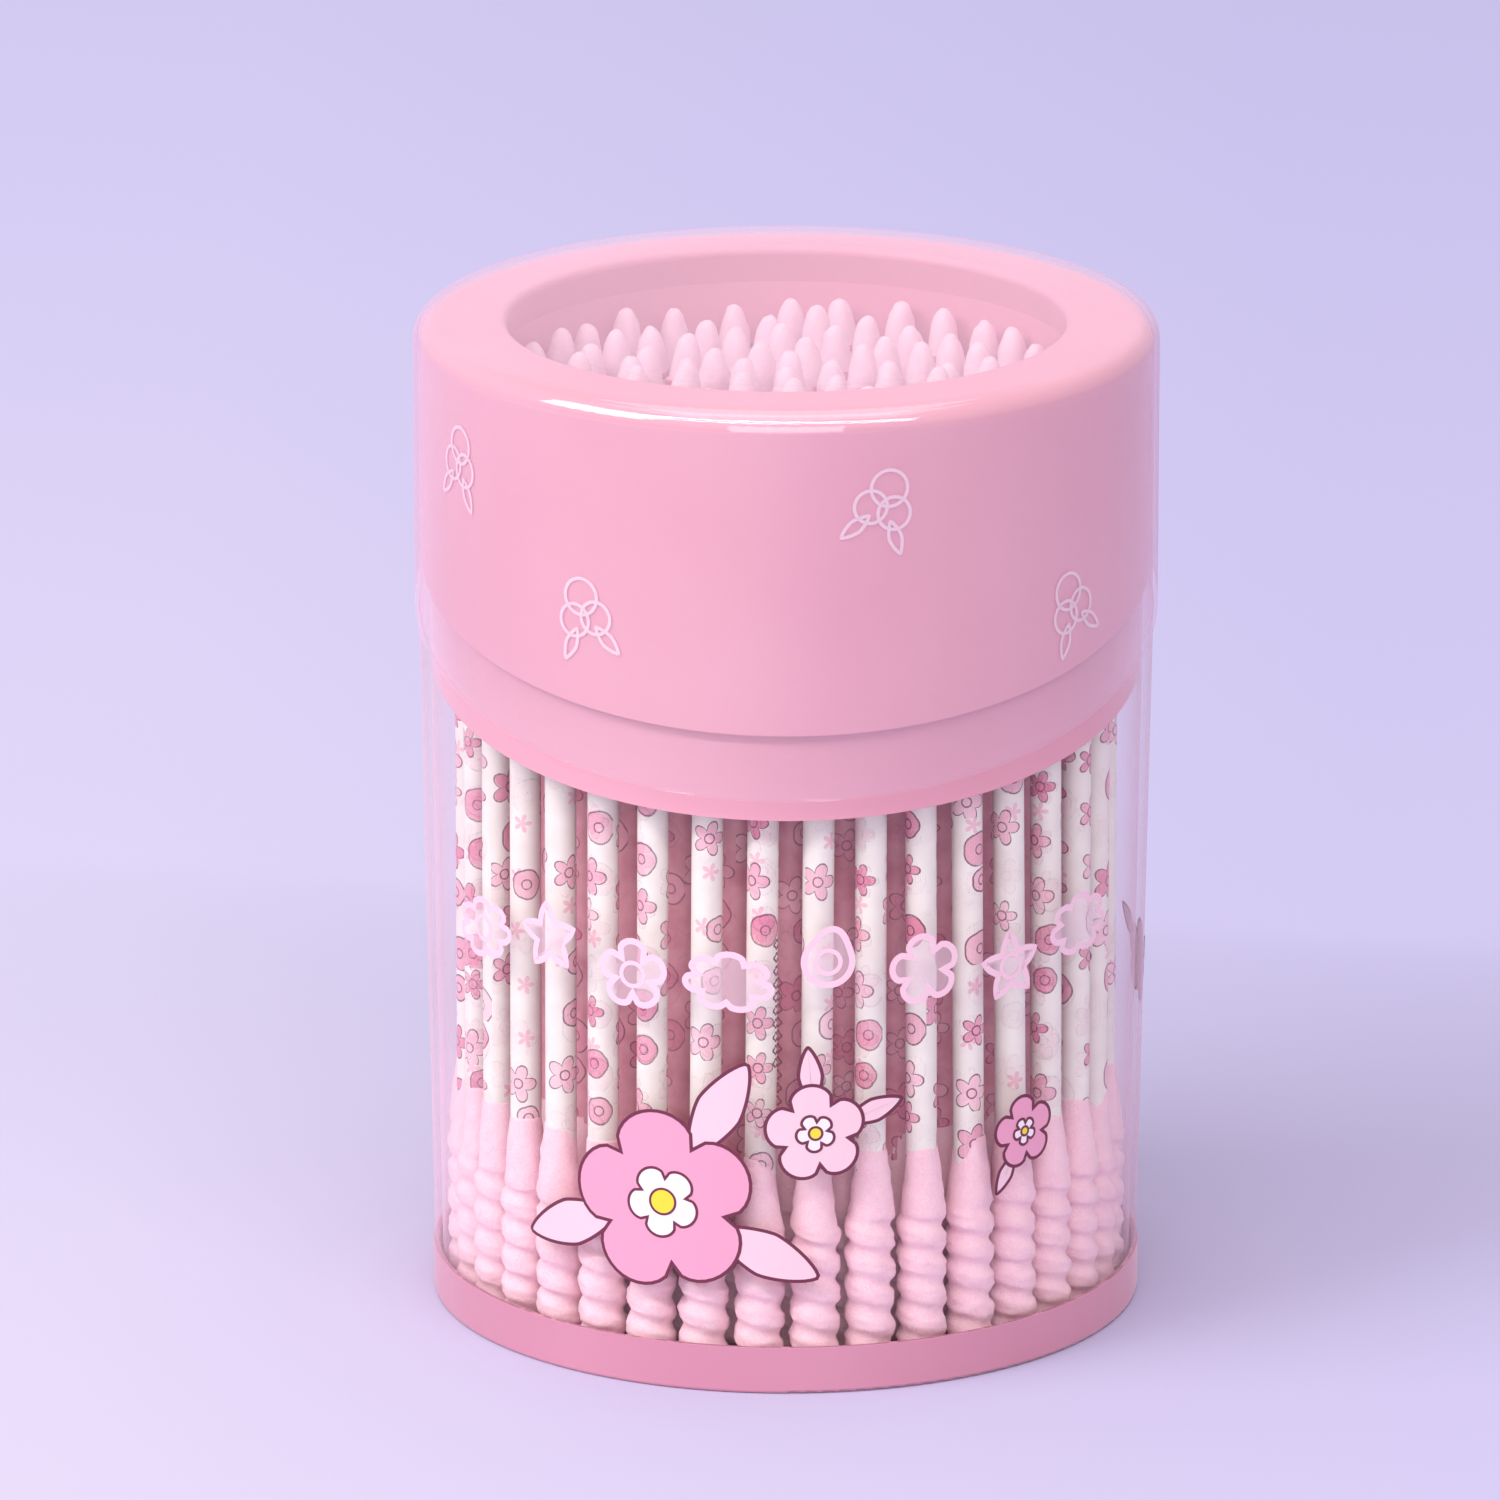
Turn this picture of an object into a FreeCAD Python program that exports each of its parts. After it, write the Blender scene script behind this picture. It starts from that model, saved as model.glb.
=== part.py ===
import FreeCAD, Part
import math
import os
import random

import Sketcher

# Round tub of cotton swabs. A moulded base and a clear tube hold the swabs on end, a pink collar
# with a round mouth is seated in the tube's neck, and a clear cap lifts straight off.
# The frame has its origin at the centre of the foot, +Z up, and the low side of the slanted seam
# faces -Y.

doc = FreeCAD.newDocument("cotton_swab_tub")
sheet = doc.addObject("Spreadsheet::Sheet", "Sizes")

# Driving dimensions in millimetres, each with what it measures.
SIZES = (
    ("cap_radius", 28.6, "outside of the clear cap"),
    ("cap_wall", 0.4, "wall and top of the clear cap"),
    ("cap_shoulder", 1.7, "outer rounding between the cap's top and wall"),
    ("cap_clearance", 0.16, "running gap between the cap and what it slides over"),
    ("cap_headroom", 0.15, "gap between the cap's top and the collar"),
    ("top_rise", 0.5, "tops of the cap and the collar rise this much up to the mouth"),
    ("cap_front", 30.9, "length of the cap down its front"),
    ("cap_back", 14.9, "length of the cap down its back"),
    ("seam_gap", 0.1, "gap between the cap's edge and the tube's shoulder"),
    ("neck_front", 5.0, "height of the neck above the seam at the front"),
    ("neck_back", 2.2, "height of the neck above the seam at the back"),
    ("neck_wall", 0.4, "wall of the neck"),
    ("rim_inset", 0.1, "tube's outside at its rim, inside the cap's"),
    ("tube_taper", 1.15, "how much narrower the tube's foot is than its rim"),
    ("tube_wall", 0.6, "wall of the tube at its foot"),
    ("tongue_length", 1.9, "tongue of the tube inside the base's lip"),
    ("tongue_clearance", 0.03, "gap between the tongue and the base's lip"),
    ("catch_radius", 1.3, "root of the catch nub on the neck"),
    ("catch_tip_radius", 0.5, "flat end of the catch nub"),
    ("catch_rise", 3.0, "catch nub above the seam's front"),
    ("catch_proud", 0.08, "how far the catch nub stands out of the neck"),
    ("catch_depth", 0.2, "how far the catch nub is rooted in the neck"),
    ("collar_wall", 1.0, "top of the collar"),
    ("collar_skirt_wall", 1.2, "upper skirt of the collar"),
    ("collar_shoulder", 1.35, "outer rounding of the collar"),
    ("skirt_clearance", 0.05, "gap between the collar's lower skirt and the tube's bore"),
    ("skirt_front", 2.0, "collar below the seam at the front"),
    ("skirt_back", 6.7, "collar below the seam at the back"),
    ("mouth_inset", 6.74, "ring of the collar's top, from its outside to the mouth"),
    ("mouth_rounding", 0.5, "rounding of the mouth's edge"),
    ("mouth_flare", 0.78, "mouth's wall opens this much towards its foot"),
    ("mouth_flare_depth", 3.0, "height over which it opens"),
    ("mouth_wall", 0.42, "wall that hangs round the mouth, between two rings of swabs"),
    ("mouth_depth", 8.0, "that wall below the collar's top"),
    ("base_proud", 0.1, "base's outside beyond the tube's foot"),
    ("base_lip_wall", 0.38, "lip of the base, outside the tube's tongue"),
    ("base_ledge_inset", 0.15, "ledge under the tongue, inside the tube's bore"),
    ("base_ledge_rise", 0.7, "that ledge above the floor"),
    ("base_floor", 0.8, "floor that the swabs stand on"),
    ("foot_recess", 0.3, "hollow under the base, inside the foot ring"),
    ("foot_width", 2.0, "width of the foot ring"),
    ("foot_rounding", 0.3, "rounding of the foot's outer edge"),
    ("swabs_per_ring", 6, "swabs that each further ring gains"),
    ("swab_spacing", 0.15, "least gap between the buds of two rings"),
    ("swab_wall_gap", 0.17, "gap between the outer buds and the base's wall"),
    ("swab_length", 73.0, "one swab from end to end"),
    ("swab_seat", 0.05, "gap under the edge of a leaning swab"),
    ("swab_lift", 0.5, "most that a swab is held up by its neighbours"),
    ("tip_depth", 3.1, "highest tip below the collar's top"),
    ("swab_sway", 1.1, "most that a whole ring's tips wander round the ring"),
    ("swab_inset", 0.3, "most that the tips wander towards the middle"),
    ("stick_radius", 1.2, "rolled paper stick"),
    ("stick_clearance", 0.02, "glue line between stick and cotton"),
    ("bud_sides", 8, "flats that stand for the round of a bud"),
    ("bud_edge", 0.3, "cotton over the stick where a bud starts"),
    ("spiral_cotton", 0.75, "cotton over the stick at the crests of the spiral bud"),
    ("spiral_groove", 0.3, "depth of the grooves between its turns"),
    ("spiral_turns", 5, "turns of the spiral bud"),
    ("turn_pitch", 2.3, "height of one turn"),
    ("spiral_flare", 5.2, "cone from the stick to the first turn"),
    ("spiral_cover", 2.2, "cotton beyond the stick in the spiral bud"),
    ("point_cotton", 0.4, "cotton over the stick at the belly of the pointed bud"),
    ("point_length", 12.0, "pointed bud from end to end"),
    ("point_belly", 5.5, "its widest part above its lower end"),
    ("point_taper", 2.6, "length of its tip, above the shoulder"),
    ("point_nose", 0.6, "length of its round nose"),
    ("shoulder_inset", 0.2, "how much narrower its shoulder is than its belly"),
    ("nose_inset", 0.55, "how much narrower its nose is than its shoulder"),
    ("nose_round", 0.5, "how much narrower its flat end is than its nose"),
    ("point_cover", 4.0, "cotton beyond the stick in the pointed bud"),
)


class Linked:
    """A number together with the expression that ties it to the sheet."""

    def __init__(self, value, text):
        self.value = value
        self.text = text

    def joined(self, sign, other, value):
        right = other.text if isinstance(other, Linked) else repr(other)
        return Linked(value, f"({self.text} {sign} {right})")

    def __add__(self, other):
        return self.joined("+", other, self.value + number(other))

    def __sub__(self, other):
        return self.joined("-", other, self.value - number(other))

    def __mul__(self, other):
        return self.joined("*", other, self.value * number(other))

    def __truediv__(self, other):
        return self.joined("/", other, self.value / number(other))


def number(item):
    """The plain value of a linked or a plain number."""
    return item.value if isinstance(item, Linked) else item


for row, (alias, measure, note) in enumerate(SIZES, start=1):
    sheet.set(f"A{row}", note)
    sheet.set(f"B{row}", str(measure))
    sheet.setAlias(f"B{row}", alias)
doc.recompute()


def size(alias):
    """One driving dimension, linked to its cell."""
    return Linked(float(sheet.get(alias)), f"Sizes.{alias}")


ZERO = Linked(0.0, "0")


def bind(item, **links):
    """Ties properties of an object to the sheet. Stand is the height that it stands at."""
    for name, link in links.items():
        path = ".Placement.Base.z" if name == "Stand" else name
        item.setExpression(path, link.text)


# Heights that several pieces share, from the floor up to the cap's top and down again
floor_top = size("foot_recess") + size("base_floor")
ledge_top = floor_top + size("base_ledge_rise")
base_height = ledge_top + size("tongue_length")
swab_length = size("swab_length")
highest_tip = floor_top + size("swab_seat") + size("swab_lift") + swab_length
collar_top = highest_tip + size("tip_depth")
total_height = collar_top + size("cap_headroom") + size("cap_wall")
seam_front = total_height - size("cap_front")
seam_back = total_height - size("cap_back")
neck_front = seam_front + size("neck_front")
neck_back = seam_back + size("neck_back")
hem_front = seam_front - size("skirt_front")
hem_back = seam_back - size("skirt_back")

# Radii that several pieces share, from the cap inwards
cap_radius = size("cap_radius")
cap_bore = cap_radius - size("cap_wall")
neck_radius = cap_bore - size("cap_clearance")
neck_bore = neck_radius - size("neck_wall")
rim_radius = cap_radius - size("rim_inset")
foot_radius = rim_radius - size("tube_taper")
foot_bore = foot_radius - size("tube_wall")
base_radius = foot_radius + size("base_proud")
base_lip_bore = base_radius - size("base_lip_wall")
ledge_bore = foot_bore - size("base_ledge_inset")
mouth_radius = neck_radius - size("mouth_inset")
stick_radius = size("stick_radius")
glue_bore = stick_radius + size("stick_clearance")
spiral_radius = stick_radius + size("spiral_cotton")
outer_ring = ledge_bore - size("swab_wall_gap") - spiral_radius

# Cutting tools reach this many cap radii from the axis, well past every wall.
REACH = 1.25

# Blanks run this much past the slanted cut that trims them, and roots are this long in a wall.
TRIM = 3.0
ROOT = 1.0


def new_body(name):
    """An empty body and its three origin planes, by name."""
    body = doc.addObject("PartDesign::Body", name)
    body.Label = name
    planes = {item.Role: item for item in body.Origin.OriginFeatures}
    return body, planes


def profile(body, plane, name, corners):
    """A closed outline in the plane of X and Z. Each corner is a pair of linked numbers."""
    sketch = body.newObject("Sketcher::SketchObject", name)
    sketch.AttachmentSupport = [(plane, "")]
    sketch.MapMode = "FlatFace"
    places = [FreeCAD.Vector(across.value, up.value, 0) for across, up in corners]
    for index, place in enumerate(places):
        after = places[(index + 1) % len(places)]
        sketch.addGeometry(Part.LineSegment(place, after), False)
    for index in range(len(places)):
        after = (index + 1) % len(places)
        sketch.addConstraint(Sketcher.Constraint("Coincident", index, 2, after, 1))
    for index, (across, up) in enumerate(corners):
        for kind, link, axis in (("DistanceX", across, -2), ("DistanceY", up, -1)):
            if link.value == 0:
                sketch.addConstraint(Sketcher.Constraint("PointOnObject", index, 1, axis))
                continue
            name_of = f"{kind}_{index}"
            order = sketch.addConstraint(
                Sketcher.Constraint(kind, -1, 1, index, 1, link.value)
            )
            sketch.renameConstraint(order, name_of)
            sketch.setExpression(f"Constraints.{name_of}", link.text)
    return sketch


def turned(body, plane, name, corners):
    """A full turn of an outline about Z."""
    sketch = profile(body, plane, name + "_section", corners)
    feature = body.newObject("PartDesign::Revolution", name)
    feature.Profile = sketch
    feature.ReferenceAxis = (sketch, ["V_Axis"])
    feature.Angle = 360
    sketch.Visibility = False
    doc.recompute()
    return feature


def rounded(body, base, name, radius, height, rounding):
    """Rounds the circular edge of the given radius and height."""
    found = []
    for index, edge in enumerate(base.Shape.Edges, start=1):
        curve = edge.Curve
        if not isinstance(curve, Part.Circle):
            continue
        if abs(curve.Radius - radius.value) < 1e-4 and abs(curve.Center.z - height.value) < 1e-4:
            found.append(f"Edge{index}")
    feature = body.newObject("PartDesign::Fillet", name)
    feature.Base = (base, found)
    feature.setExpression("Radius", rounding.text)
    doc.recompute()
    return feature


def slanted_height(front, back, side):
    """Height of a slanted plane at the tools' reach, side -1 in front and 1 behind."""
    middle = (front + back) / 2
    half_rise = (back - front) / 2
    return middle + half_rise * (side * REACH)


def slanted_block(name, front, back, above, lift=ZERO):
    """A block that fills all above, or all below, a slanted plane."""
    block = doc.addObject("Part::Wedge", name)
    reach = cap_radius * REACH
    near = slanted_height(front, back, -1) + lift
    far = slanted_height(front, back, 1) + lift
    low = ZERO - cap_radius
    high = total_height + cap_radius
    bind(
        block,
        Xmin=ZERO - reach,
        X2min=ZERO - reach,
        Xmax=reach,
        X2max=reach,
        Ymin=ZERO - reach,
        Ymax=reach,
        Zmin=near if above else low,
        Z2min=far if above else low,
        Zmax=high if above else near,
        Z2max=high if above else far,
    )
    return block


def cylinder(name, radius, height, stand):
    """A round bar on the axis, standing at the given height."""
    bar = doc.addObject("Part::Cylinder", name)
    bind(bar, Radius=radius, Height=height, Stand=stand)
    return bar


def cone(name, low_radius, high_radius, height, stand):
    """A cone on the axis, standing at the given height."""
    taper = doc.addObject("Part::Cone", name)
    bind(taper, Radius1=low_radius, Radius2=high_radius, Height=height, Stand=stand)
    return taper


def cut(name, base, tool):
    """What is left of the base outside the tool."""
    result = doc.addObject("Part::Cut", name)
    result.Base = base
    result.Tool = tool
    return result


def fused(name, first, second):
    """Two overlapping shapes as one."""
    result = doc.addObject("Part::Fuse", name)
    result.Base = first
    result.Tool = second
    return result


# Base: a shallow moulded tray with a foot ring and a lip outside the ledge for the tube's tongue
def make_base():
    body, planes = new_body("base_cup")
    recess = size("foot_recess")
    foot_inner = base_radius - size("foot_width")
    corners = (
        (ZERO, recess),
        (foot_inner, recess),
        (foot_inner, ZERO),
        (base_radius, ZERO),
        (base_radius, base_height),
        (base_lip_bore, base_height),
        (base_lip_bore, ledge_top),
        (ledge_bore, ledge_top),
        (ledge_bore, floor_top),
        (ZERO, floor_top),
    )
    tray = turned(body, planes["XZ_Plane"], "tray", corners)
    rounded(body, tray, "foot_edge", base_radius, ZERO, size("foot_rounding"))
    return body


# Tube: a tapered clear wall cut on the slant, with a tongue that drops into the base and a thinner
# neck that the cap slides over
def make_tube():
    wall = cone("tube_cone", foot_radius, rim_radius, neck_back - base_height, base_height)
    above_seam = slanted_block("above_seam", seam_front, seam_back, True)
    wall = cut("tube_outside", wall, above_seam)
    neck_foot = seam_front - TRIM
    neck = cylinder("neck_bar", neck_radius, neck_back - neck_foot, neck_foot)
    above_neck = slanted_block("above_neck", neck_front, neck_back, True)
    neck = cut("neck_outside", neck, above_neck)
    tongue_radius = base_lip_bore - size("tongue_clearance")
    tongue = cylinder("tongue_bar", tongue_radius, size("tongue_length") + ROOT, ledge_top)
    proud = size("catch_proud")
    depth = size("catch_depth")
    catch_height = seam_front + size("catch_rise")
    catch = cone(
        "catch_nub", size("catch_radius"), size("catch_tip_radius"), proud + depth, catch_height
    )
    catch.Placement.Rotation = FreeCAD.Rotation(FreeCAD.Vector(1, 0, 0), 90)
    catch.setExpression(".Placement.Base.y", (depth - neck_radius).text)
    solid = fused("tube_and_neck", wall, neck)
    solid = fused("tube_and_tongue", solid, tongue)
    solid = fused("tube_solid", solid, catch)
    bore = cone("tube_bore", foot_bore, neck_bore, neck_back - ledge_top, ledge_top)
    tube = cut("clear_tube", solid, bore)
    tube.Label = "clear_tube"
    return tube


# Collar: a pink skirt and top in one, stepped so that it sits on the neck's slanted edge
def make_collar():
    body, planes = new_body("collar_blank")
    mouth_wall = size("mouth_wall")
    mouth_foot_radius = mouth_radius + size("mouth_flare")
    mouth_foot = collar_top - size("mouth_depth")
    flare_foot = collar_top - size("mouth_flare_depth")
    under = collar_top - size("collar_wall")
    rise = size("top_rise")
    skirt_bore = neck_radius - size("collar_skirt_wall")
    skirt_foot = hem_front - TRIM
    corners = (
        (mouth_radius, collar_top),
        (mouth_foot_radius, flare_foot),
        (mouth_foot_radius, mouth_foot),
        (mouth_foot_radius + mouth_wall, mouth_foot),
        (mouth_foot_radius + mouth_wall, under),
        (skirt_bore, under - rise),
        (skirt_bore, skirt_foot),
        (neck_radius, skirt_foot),
        (neck_radius, collar_top - rise),
    )
    blank = turned(body, planes["XZ_Plane"], "collar_turned", corners)
    shoulder = size("collar_shoulder")
    blank = rounded(body, blank, "shoulder", neck_radius, collar_top - rise, shoulder)
    rounded(body, blank, "mouth_edge", mouth_radius, collar_top, size("mouth_rounding"))
    below_hem = slanted_block("below_hem", hem_front, hem_back, False)
    trimmed = cut("collar_trimmed", body, below_hem)
    bore_slope = (neck_bore - foot_bore) / (neck_back - ledge_top)
    bore_at_hem = foot_bore + bore_slope * (hem_front - ledge_top)
    relief_height = neck_back - skirt_foot
    lower_radius = bore_at_hem - size("skirt_clearance")
    relief = cut(
        "relief_ring",
        cylinder("relief_outside", cap_radius, relief_height, skirt_foot),
        cylinder("relief_inside", lower_radius, relief_height, skirt_foot),
    )
    above_seat = slanted_block("above_seat", neck_front, neck_back, True)
    relief = cut("relief_below_step", relief, above_seat)
    collar = cut("collar", trimmed, relief)
    collar.Label = "collar"
    return collar


# Cap: a thin clear cup whose edge follows the slanted seam
def make_cap():
    body, planes = new_body("cap_blank")
    under = total_height - size("cap_wall")
    rise = size("top_rise")
    skirt_foot = seam_front - TRIM
    corners = (
        (ZERO, total_height),
        (ZERO, under),
        (mouth_radius, under),
        (cap_bore, under - rise),
        (cap_bore, skirt_foot),
        (cap_radius, skirt_foot),
        (cap_radius, total_height - rise),
        (mouth_radius, total_height),
    )
    blank = turned(body, planes["XZ_Plane"], "cap_turned", corners)
    outer = size("cap_shoulder")
    blank = rounded(body, blank, "cap_outer_edge", cap_radius, total_height - rise, outer)
    rounded(body, blank, "cap_inner_edge", cap_bore, under - rise, outer - size("cap_wall"))
    below_edge = slanted_block("below_seam", seam_front, seam_back, False, size("seam_gap"))
    cap = cut("clear_cap", body, below_edge)
    cap.Label = "clear_cap"
    return cap


# Stick: one rolled paper rod, between the covers of cotton at its two ends
def make_stick_pattern():
    body, planes = new_body("stick_pattern")
    sketch = body.newObject("Sketcher::SketchObject", "stick_section")
    sketch.AttachmentSupport = [(planes["XY_Plane"], "")]
    sketch.MapMode = "FlatFace"
    middle = FreeCAD.Vector(0, 0, 0)
    normal = FreeCAD.Vector(0, 0, 1)
    sketch.addGeometry(Part.Circle(middle, normal, stick_radius.value), False)
    sketch.addConstraint(Sketcher.Constraint("Coincident", 0, 3, -1, 1))
    order = sketch.addConstraint(Sketcher.Constraint("Radius", 0, stick_radius.value))
    sketch.renameConstraint(order, "stick")
    sketch.setExpression("Constraints.stick", stick_radius.text)
    pad = body.newObject("PartDesign::Pad", "stick_rod")
    pad.Profile = sketch
    rod = swab_length - size("spiral_cover") - size("point_cover")
    pad.setExpression("Length", rod.text)
    doc.recompute()
    return body


def stacked(name, sections, seat_low, seat_high):
    """A bud with flat sides through polygons of given radii and heights, bored for its stick."""
    outlines = []
    for index, (radius, height) in enumerate(sections):
        outline = doc.addObject("Part::RegularPolygon", f"{name}_outline_{index}")
        bind(outline, Polygon=size("bud_sides"), Circumradius=radius, Stand=height)
        outlines.append(outline)
    loft = doc.addObject("Part::Loft", f"{name}_loft")
    loft.Sections = outlines
    loft.Solid = True
    loft.Ruled = True
    seat = doc.addObject("Part::Prism", f"{name}_seat")
    seat_radius = Linked(
        glue_bore.value / math.cos(math.pi / size("bud_sides").value),
        f"({glue_bore.text} / cos(180 / {size('bud_sides').text}))",
    )
    bind(seat, Polygon=size("bud_sides"), Circumradius=seat_radius)
    bind(seat, Height=seat_high - seat_low, Stand=seat_low)
    return cut(name, loft, seat)


# Thick bud: stacked turns of cotton with grooves between them, then a flare up to the stick
def make_spiral_pattern():
    groove = spiral_radius - size("spiral_groove")
    pitch = size("turn_pitch")
    turns = int(size("spiral_turns").value)
    length = size("spiral_flare") + pitch * turns
    sections = [(groove, ZERO)]
    for turn in range(turns):
        sections.append((spiral_radius, pitch * (turn + 0.5)))
        sections.append((groove, pitch * (turn + 1)))
    sections.append((stick_radius + size("bud_edge"), length))
    return stacked("spiral_pattern", sections, size("spiral_cover"), length)


# Slim bud: a belly that tapers to a blunt point
def make_point_pattern():
    length = size("point_length")
    belly_radius = stick_radius + size("point_cotton")
    shoulder_radius = belly_radius - size("shoulder_inset")
    nose_radius = shoulder_radius - size("nose_inset")
    sections = (
        (stick_radius + size("bud_edge"), ZERO),
        (belly_radius, size("point_belly")),
        (shoulder_radius, length - size("point_taper")),
        (nose_radius, length - size("point_nose")),
        (nose_radius - size("nose_round"), length),
    )
    return stacked("point_pattern", sections, ZERO, length - size("point_cover"))


# Rings of swabs: as many as fit between the middle swab and the base's wall, evenly spread
least_pitch = spiral_radius * 2 + size("swab_spacing")
ring_count = int(outer_ring.value / least_pitch.value)
ring_pitch = outer_ring / ring_count

# Waves of the sway and the inset round a ring: share of the most, waves to a turn, start angle
SWAY_WAVES = ((0.6, 3, 0.9), (0.25, 5, 2.1))
INSET_WAVES = ((0.3, 4, 0.4),)
SWAY_CHANCE = 0.1
INSET_CHANCE = 0.2


def wander(waves, angle):
    """The sum of a few smooth waves at an angle round the ring."""
    return sum(share * math.sin(turns * angle + start) for share, turns, start in waves)


def swab_places(ring):
    """The placement of each swab in one ring, leaning a little as packed swabs do."""
    count = max(1, ring * int(size("swabs_per_ring").value))
    chance = random.Random(40 + ring)
    radius = ring * ring_pitch.value
    share = ring / ring_count
    up = FreeCAD.Vector(0, 0, 1)
    places = []
    for index in range(count):
        angle = 2 * math.pi * (index + 0.5) / count
        outward = FreeCAD.Vector(math.cos(angle), math.sin(angle), 0)
        around = FreeCAD.Vector(-math.sin(angle), math.cos(angle), 0)
        sway = wander(SWAY_WAVES, angle) + chance.uniform(-SWAY_CHANCE, SWAY_CHANCE)
        inset = 0.5 + wander(INSET_WAVES, angle) + chance.uniform(-INSET_CHANCE, INSET_CHANCE)
        lean = up * swab_length.value
        lean += around * (sway * share * size("swab_sway").value)
        lean -= outward * (inset * share * size("swab_inset").value)
        lift = size("swab_seat").value + chance.uniform(0, 1) * size("swab_lift").value
        stand = outward * radius + up * (floor_top.value + lift)
        places.append(FreeCAD.Placement(stand, FreeCAD.Rotation(up, lean)))
    return places


def make_swab_ring(ring, patterns):
    """The sticks, spiral buds and pointed buds of one ring, each group a node of its own."""
    groups = (
        ("paper_sticks", patterns["stick"], size("spiral_cover")),
        ("spiral_buds", patterns["spiral"], ZERO),
        ("pointed_buds", patterns["point"], swab_length - size("point_length")),
    )
    places = swab_places(ring)
    nodes = []
    for kind, pattern, start in groups:
        raised = FreeCAD.Placement(FreeCAD.Vector(0, 0, start.value), FreeCAD.Rotation())
        solids = []
        for place in places:
            solid = pattern.Shape.copy()
            solid.Placement = place.multiply(raised)
            solids.append(solid)
        group = doc.addObject("Part::Feature", f"{kind}_ring_{ring}")
        group.Label = f"{kind}_ring_{ring}"
        group.Shape = Part.makeCompound(solids)
        nodes.append(group)
    return nodes


sub_parts = [make_base(), make_tube(), make_collar(), make_cap()]
pattern_bodies = {
    "stick": make_stick_pattern(),
    "spiral": make_spiral_pattern(),
    "point": make_point_pattern(),
}
doc.recompute()
for ring_number in range(ring_count + 1):
    sub_parts += make_swab_ring(ring_number, pattern_bodies)
doc.recompute()

# Nothing is written unless every object is sound.
for item in doc.Objects:
    if "Invalid" in item.State or "Error" in item.State:
        raise RuntimeError(f"{item.Label} is {item.State}")
for item in sub_parts:
    if item.Shape.isNull() or not item.Shape.isValid():
        raise RuntimeError(f"{item.Label} has no sound shape")

os.makedirs("parts", exist_ok=True)
for item in sub_parts:
    item.Shape.exportStep(f"parts/{item.Label}.step")
    solids = item.Shape.Solids
    volume = sum(solid.Volume for solid in solids)
    print(f"{item.Label}: {len(solids)} solids, {volume:.1f} mm3")
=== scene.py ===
import bpy
import math
import random
from mathutils import Matrix, Vector


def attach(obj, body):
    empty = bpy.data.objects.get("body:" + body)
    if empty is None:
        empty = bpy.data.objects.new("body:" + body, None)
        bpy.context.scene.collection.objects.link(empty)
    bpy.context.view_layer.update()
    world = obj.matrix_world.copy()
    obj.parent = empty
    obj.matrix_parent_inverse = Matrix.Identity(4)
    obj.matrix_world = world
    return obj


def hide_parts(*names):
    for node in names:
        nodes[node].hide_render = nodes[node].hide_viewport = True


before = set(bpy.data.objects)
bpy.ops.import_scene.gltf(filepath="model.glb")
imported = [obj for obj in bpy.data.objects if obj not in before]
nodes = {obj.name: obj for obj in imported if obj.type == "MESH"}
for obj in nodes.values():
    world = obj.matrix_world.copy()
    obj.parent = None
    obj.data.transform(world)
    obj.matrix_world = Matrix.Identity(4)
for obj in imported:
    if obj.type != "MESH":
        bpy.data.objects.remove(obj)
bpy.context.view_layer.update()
scene = bpy.context.scene
scene.view_settings.view_transform = "Standard"

# Round tub of cotton swabs: a clear tapered tube on a pink base, a pink collar with a round mouth,
# a clear cap with a slanted edge, and rings of swabs with printed paper sticks. It stands on a pale
# lavender table. Lengths are in metres unless a note says otherwise.
MM = 0.001
UP = Vector((0, 0, 1))
FULL_TURN = 2 * math.pi
SMOOTH_ANGLE = math.radians(50)

# Radius and height of the tube's outer wall at its foot and at its rim, and the cap's inner radius
TUBE_FOOT = (27.35 * MM, 3.7 * MM)
TUBE_RIM = (28.5 * MM, 65.6 * MM)
CAP_BORE = 28.2 * MM

# One swab: its length, its stick, and how far the cotton of each end reaches beyond the stick
SWAB_LENGTH = 73.0 * MM
STICK_RADIUS = 1.2 * MM
SPIRAL_COVER = 2.2 * MM
POINT_COVER = 4.0 * MM

RINGS = range(7)
# The outer rings are seen best, so their buds, spiral and slim, have more sides
FIRST_FINE_RING = 5
FINE_SIDES = (14, 14)
PLAIN_SIDES = (8, 12)
STICK_SIDES = 20
SWAB_SEED = 7


def colour(red, green, blue):
    """A display colour, in parts of 255, as the linear values that shaders take."""
    linear = []
    for part in (red, green, blue):
        value = part / 255
        linear.append(value / 12.92 if value <= 0.04045 else ((value + 0.055) / 1.055) ** 2.4)
    return (*linear, 1.0)


WHITE = (1.0, 1.0, 1.0, 1.0)

# Scales of the noise in the finishes, in cells to a metre
CLOUDS = 38.0
SATIN = 300.0
MOULD_GRAIN = 9000.0
TUFT = 900.0
FIBRE = 6500.0
PAPER_CLOUDS = 500.0
PAPER_GRAIN = 5000.0
INK_SPECKS = 2500.0


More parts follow.
